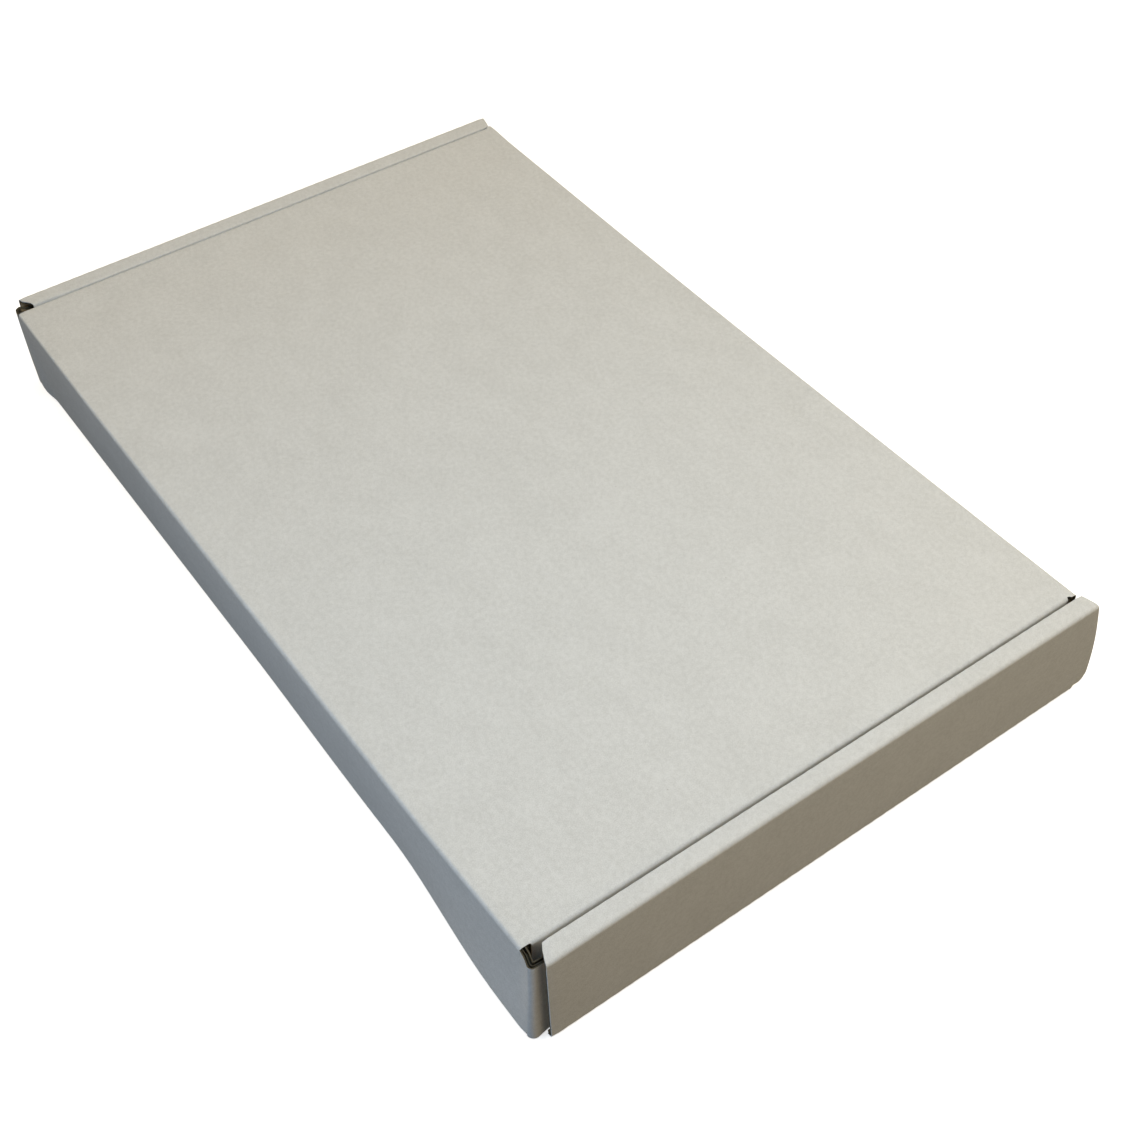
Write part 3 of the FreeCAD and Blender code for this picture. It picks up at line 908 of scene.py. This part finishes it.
# %% Geometry Nodes: fluted paper in the raw edges
def flute_tree():
    tree, given = geometry_tree("fluted_edges", [
        ("Pitch", "NodeSocketFloat"), ("Height", "NodeSocketFloat"), ("Depth", "NodeSocketFloat"),
        ("Paper", "NodeSocketFloat"), ("Step", "NodeSocketFloat"), ("Wander", "NodeSocketFloat"),
        ("Seed", "NodeSocketFloat"), ("Material", "NodeSocketMaterial")])
    geometry, pitch, height, depth, paper, step, wander, seed, material = (
        Wire(tree, given.outputs[i]) for i in range(9))
    curve = tree.node("GeometryNodeMeshToCurve", {}, {"Mesh": geometry})
    even = tree.node("GeometryNodeResampleCurve", {"mode": "LENGTH"}, {"Curve": curve, "Length": step})
    line = tree.node("GeometryNodeCurveToMesh", {}, {"Curve": even})
    across = attribute(tree, "across")
    up, out = (attribute(tree, name, "FLOAT_VECTOR") for name in ("up", "out"))
    where = tree.node("GeometryNodeInputPosition")
    moved = tree.vector("ADD", where, tree.node("ShaderNodeCombineXYZ", {}, {"X": seed}))
    noise = tree.node("ShaderNodeTexNoise", {}, {"Vector": moved, "Scale": 90.0, "Detail": 1.0})
    phase = (across + (noise - 0.5) * wander) * (2 * math.pi) / pitch
    wave_height = phase.math("SINE") * height * 0.5
    raised = tree.scaled(up, wave_height)
    wave = tree.node("GeometryNodeSetPosition", {}, {"Geometry": line, "Offset": raised})
    inwards = tree.scaled(out, -depth)
    ribbon = tree.node("GeometryNodeExtrudeMesh", {"mode": "EDGES"},
                       {"Mesh": wave, "Offset": inwards, "Offset Scale": 1.0})
    thick = tree.node("GeometryNodeExtrudeMesh", {"mode": "FACES"},
                      {"Mesh": ribbon, "Offset Scale": paper, "Individual": False})
    back = tree.node("GeometryNodeFlipFaces", {}, {"Mesh": ribbon})
    joined = tree.node("GeometryNodeJoinGeometry")
    for part in (thick, back):
        tree.tree.links.new(part.socket, joined.socket.node.inputs[0])
    merged = tree.node("GeometryNodeMergeByDistance", {}, {"Geometry": joined, "Distance": 0.001 * MM})
    realized = tree.node("GeometryNodeRealizeInstances", {}, {"Geometry": merged})
    coloured = tree.node("GeometryNodeSetMaterial", {}, {"Geometry": realized, "Material": material})
    tree.node("NodeGroupOutput", {}, {"Geometry": coloured})
    return tree


flutes = flute_tree()
print("fluted_edges", len(flutes.tree.nodes), "nodes")


# %% Lines along the raw edges
def off_the_crease(middle):
    """Edges where the lid or the rear wall runs into the crease band aren't raw."""
    at_band = (np.abs(middle[:, 0]) < near_crease) & (middle[:, 1] > lid_rear - 1.6 * MM)
    return ~(at_band & (middle[:, 2] > wall_top - 1.6 * MM))


def cut_lines(name, cut):
    """The raw edges that aren't pinched, as a mesh of lines that carries what the tree reads."""
    edges = cut["edges"]
    chosen = off_the_crease(cut["points"][edges].mean(1)) & (cut["hollow"][edges].min(1) > 0.6)
    mesh = bpy.data.meshes.new(name)
    mesh.from_pydata(cut["points"].tolist(), edges[chosen].tolist(), [])
    store(mesh, "across", cut["across"])
    store(mesh, "up", cut["up"], "FLOAT_VECTOR")
    store(mesh, "out", cut["out"], "FLOAT_VECTOR")
    return mesh


# %% [markdown]
# Paper is coloured by its place on the flat sheet, which every point has stored, so that the grain runs
# over the folds and nothing slides when the lid turns.

# %% Helpers for paper
def material_tree(name):
    material = bpy.data.materials.new(name)
    material.use_nodes = True
    material.node_tree.nodes.clear()
    return material, Tree(material.node_tree)


def sheet_place(tree, seed):
    """Place on the flat sheet, and how far across the flutes it lies."""
    along = tree.node("ShaderNodeAttribute", {"attribute_name": "along"}, output="Fac")
    across = tree.node("ShaderNodeAttribute", {"attribute_name": "across"}, output="Fac")
    return tree.node("ShaderNodeCombineXYZ", {}, {"X": along, "Y": across, "Z": seed}), across


def cloud(tree, place, size, detail=2.0, stretch=(1.0, 1.0, 1.0)):
    """Noise with features of about this size."""
    scaled = tree.vector("MULTIPLY", place, stretch)
    return tree.node("ShaderNodeTexNoise", {}, {"Vector": scaled, "Scale": 1 / size, "Detail": detail})


def mix(tree, factor, a, b):
    return tree.node("ShaderNodeMix", {"data_type": "RGBA"}, {"Factor": factor, 6: a, 7: b}, output=2)


def finish_paper(tree, colour, roughness, height, strength):
    bump = tree.node("ShaderNodeBump", {}, {"Strength": strength, "Distance": 0.05 * MM, "Height": height})
    shader = tree.node("ShaderNodeBsdfPrincipled", {}, {
        "Base Color": colour, "Roughness": roughness, "Normal": bump, "Specular IOR Level": 0.25})
    tree.node("ShaderNodeOutputMaterial", {}, {"Surface": shader})


# %% [markdown]
# The outside is bleached paper: a slight mottle, a fine grain and a few dark specks.

# %% Material: white outer paper
def white_paper():
    material, tree = material_tree("white_paper")
    place, _ = sheet_place(tree, 0.31)
    mottle = cloud(tree, place, 9 * MM, 3.0, (1.0, 1.4, 1.0))
    fleck = cloud(tree, place, 1.1 * MM, 3.0)
    grain = cloud(tree, place, 0.28 * MM, 2.0, (1.0, 1.6, 1.0))
    tone = ((mottle - 0.5) * 0.6 + (fleck - 0.5) * 1.2 + (grain - 0.5) * 2.4 + 0.5).clamp()
    paper = mix(tree, tone, (0.600, 0.596, 0.580, 1), (0.735, 0.732, 0.720, 1))
    cells = {"Vector": place, "Scale": 1 / (9 * MM)}               # a fifth of them hold a speck
    centre = tree.node("ShaderNodeTexVoronoi", {}, cells, output="Distance")
    chance = tree.node("ShaderNodeTexVoronoi", {}, cells, output="Color")
    chance = tree.node("ShaderNodeSeparateColor", {}, {"Color": chance})
    speck = (1 - centre / 0.022).clamp() * (chance - 0.80).math("GREATER_THAN", 0.0)
    colour = mix(tree, speck * 0.55, paper, (0.16, 0.12, 0.08, 1))
    height = grain * 0.6 + fleck * 0.4
    finish_paper(tree, colour, 0.74 + grain * 0.16, height, 0.22)
    return material


white = white_paper()
print(white.name, len(white.node_tree.nodes), "nodes")

# %% [markdown]
# Inside, the paper is unbleached kraft: brown, with long fibres, and faint stripes where it is glued to
# the flutes.  The cut edges are the same paper, coloured much darker: partly the rough cut itself, and partly
# painted shade for edges that lie deep in the board.

# %% Materials: kraft inside, and raw cut paper with painted shade
def kraft_paper(name, dark, light, seed):
    material, tree = material_tree(name)
    place, across = sheet_place(tree, seed)
    fibre = cloud(tree, place, 0.5 * MM, 4.0, (0.35, 2.0, 1.0))
    patch = cloud(tree, place, 11 * MM, 3.0)
    stripe = 0.5 - 0.5 * (across * (2 * math.pi / FLUTE)).math("COSINE")
    tone = ((fibre - 0.5) * 1.3 + (patch - 0.5) * 0.6 + (stripe - 0.5) * 0.12 + 0.5).clamp()
    colour = mix(tree, tone, dark, light)
    finish_paper(tree, colour, 0.80 + fibre * 0.12, fibre, 0.30)
    return material


kraft = kraft_paper("kraft_paper", (0.215, 0.160, 0.098, 1), (0.370, 0.280, 0.175, 1), 0.77)
# the raw cut paper is far darker than the kraft: partly its rough cut, partly painted shade of the deep edges
cut_paper = kraft_paper("cut_paper", (0.045, 0.038, 0.025, 1), (0.110, 0.092, 0.062, 1), 0.13)
print(kraft.name, "and", cut_paper.name, len(kraft.node_tree.nodes), "nodes each")

# %% [markdown]
# Now the three sheets become pieces.  The tray and the lid ride on their bodies and stand for the CAD
# solids.  The crease band stays a piece of its own, on neither body.

# %% Make the pieces
FLUTES = {"Pitch": FLUTE, "Height": BOARD - 2 * PAPER - 0.16 * MM, "Depth": GROOVE - 0.08 * MM,
          "Paper": 0.14 * MM, "Step": 0.4 * MM, "Wander": 1.1 * MM, "Seed": 5.0}


def make_board(name, face):
    holder = add_piece(name + "_face", face)
    pressed = applied(holder, press, {**PRESS, "Material": white})
    bpy.data.objects.remove(holder)
    board, cut = thickened(name, pressed)
    for material in (white, kraft, cut_paper):     # as OUTSIDE, INSIDE and CUT
        board.materials.append(material)
    return add_piece(name, board), cut


def make_flutes(name, cut):
    holder = add_piece(name + "_lines", cut_lines(name + "_lines", cut))
    # the fluted paper takes the cut paper's colour, darkened partly with painted shade
    mesh = applied(holder, flutes, {**FLUTES, "Material": cut_paper})
    bpy.data.objects.remove(holder)
    mesh.name = name
    print(name, len(mesh.polygons), "faces")
    return add_piece(name, mesh)


tray_board, tray_cut = make_board("tray_board", tray_mesh)
lid_board, lid_cut = make_board("lid_board", lid_mesh)
crease_band, _ = make_board("crease_band", crease_mesh)
tray_flutes = make_flutes("tray_flutes", tray_cut)
lid_flutes = make_flutes("lid_flutes", lid_cut)

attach(tray_board, "tray")
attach(tray_flutes, "tray")
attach(lid_board, "lid")
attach(lid_flutes, "lid")
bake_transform(crease_band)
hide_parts("tray")
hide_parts("lid")

# %% [markdown]
# The room is a pale floor under soft lamps.  Tinted lamps would colour the floor too, so it glows a
# little, and is hidden from the board's own light so that the glow doesn't reach the board.

# %% Floor
def floor_material():
    material, tree = material_tree("floor")
    place = tree.node("ShaderNodeTexCoord", output="Object")
    cloudy = tree.node("ShaderNodeTexNoise", {}, {"Vector": place, "Scale": 3.0})
    colour = mix(tree, cloudy, (0.93, 0.93, 0.925, 1), (0.95, 0.95, 0.945, 1))
    shader = tree.node("ShaderNodeBsdfPrincipled", {}, {
        "Base Color": colour, "Roughness": 0.9, "Emission Color": (1, 1, 1, 1), "Emission Strength": 0.7})
    tree.node("ShaderNodeOutputMaterial", {}, {"Surface": shader})
    return material


FLOOR_REACH, FLOOR_DROP = 3.0, 0.4 * MM
floor_mesh = bpy.data.meshes.new("floor")
corners = [(FLOOR_REACH * x, FLOOR_REACH * y, 0) for x, y in ((-1, -1), (1, -1), (1, 1), (-1, 1))]
floor_mesh.from_pydata(corners, [], [(0, 1, 2, 3)])
floor_mesh.materials.append(floor_material())
floor = add_piece("floor", floor_mesh)
floor.location.z = -FLOOR_DROP
floor.visible_diffuse = floor.visible_glossy = False
print("floor", 2 * FLOOR_REACH, "m across,", FLOOR_DROP / MM, "mm below the box")

# %% [markdown]
# White board shows the colour of every lamp.  A tall lamp on the right and another at the far end are warm,
# and small ones by the near end and the hinge side are cool, so that the lid and the rear wall turn from
# cool to warm along their length.  A last lamp keeps the sides behind from going dark.

# %% Lamps and world
def soft_light(name, place, target, size, power, colour):
    data = bpy.data.lights.new(name, "AREA")
    data.shape, data.size, data.energy, data.color = "DISK", size, power, colour
    light = bpy.data.objects.new(name, data)
    light.location = place
    light.rotation_euler = (Vector(target) - Vector(place)).to_track_quat("-Z", "Y").to_euler()
    bpy.context.scene.collection.objects.link(light)


soft_light("right_high", (0, -1.0, 0.9), (0, 0, 0), 0.7, 5.62, (1.00, 0.80, 0.50))
soft_light("far_warm", (0.9, 0.5, 0.9), (0.1, 0, 0), 0.7, 5.81, (1.00, 0.80, 0.50))
soft_light("left_cool", (-0.10, 0.40, 0.15), (-0.10, 0, 0), 0.15, 0.42, (0.50, 0.72, 1.00))
soft_light("left_soft", (-0.30, 0.50, 0.15), (-0.1, 0, 0), 0.25, 0.26, (1.00, 0.91, 0.77))
soft_light("near_end", (-1.0, -0.3, 0.3), (0, 0, 0), 0.6, 1.09, (1.00, 0.80, 0.50))
soft_light("near_warm", (-0.40, -0.25, 0.40), (-0.1, 0, 0), 0.35, 1.22, (1.00, 0.89, 0.69))
soft_light("near_cool", (-0.08, 0, 0.36), (-0.08, 0, 0), 0.25, 0.49, (0.50, 0.74, 1.00))
soft_light("behind", (0.9, -0.9, 0.15), (0, 0, 0), 0.6, 3.0, (0.90, 0.95, 1.0))

world = bpy.data.worlds.new("room")
bpy.context.scene.world = world
world.use_nodes = True
SEEN, GLOW = 0.85, 0.02                            # the world is a pale wall to the eye, and hardly a lamp
world_tree = Tree(world.node_tree)
eye = world_tree.node("ShaderNodeLightPath", output="Is Camera Ray")
strength = world_tree.node("ShaderNodeMapRange", {}, {"Value": eye, "To Min": GLOW, "To Max": SEEN})
background = world.node_tree.nodes["Background"]
background.inputs["Color"].default_value = (1, 1, 1, 1)
world.node_tree.links.new(strength.socket, background.inputs["Strength"])
bpy.context.scene.view_settings.view_transform = "Standard"

# %% [markdown]
# The camera stands high beside the near end and looks down along the box.

# %% Camera
HEADING, TILT, ROLL = -36.06, 46.13, -0.21          # degrees: towards, below the horizon, about the view
CAMERA_PLACE = np.array([-245.8, 155.2, 296.4]) * MM
camera_data = bpy.data.cameras.new("camera")
camera_data.lens, camera_data.sensor_width = 53.65, 36.0
camera_data.shift_x, camera_data.shift_y = -0.0227, -0.0258
camera_data.clip_start = 0.01
camera = bpy.data.objects.new("camera", camera_data)
turn = Matrix.Rotation(math.radians(HEADING - 90), 4, "Z") @ Matrix.Rotation(math.radians(90 - TILT), 4, "X")
camera.matrix_world = Matrix.Translation(CAMERA_PLACE) @ turn @ Matrix.Rotation(math.radians(ROLL), 4, "Z")
bpy.context.scene.collection.objects.link(camera)
bpy.context.scene.camera = camera
print("camera, mm from the box's middle", round(float(np.linalg.norm(CAMERA_PLACE)) / MM))

# %% [markdown]
# Last, the scene is brought up to date.

# %% Finish
bpy.context.view_layer.update()
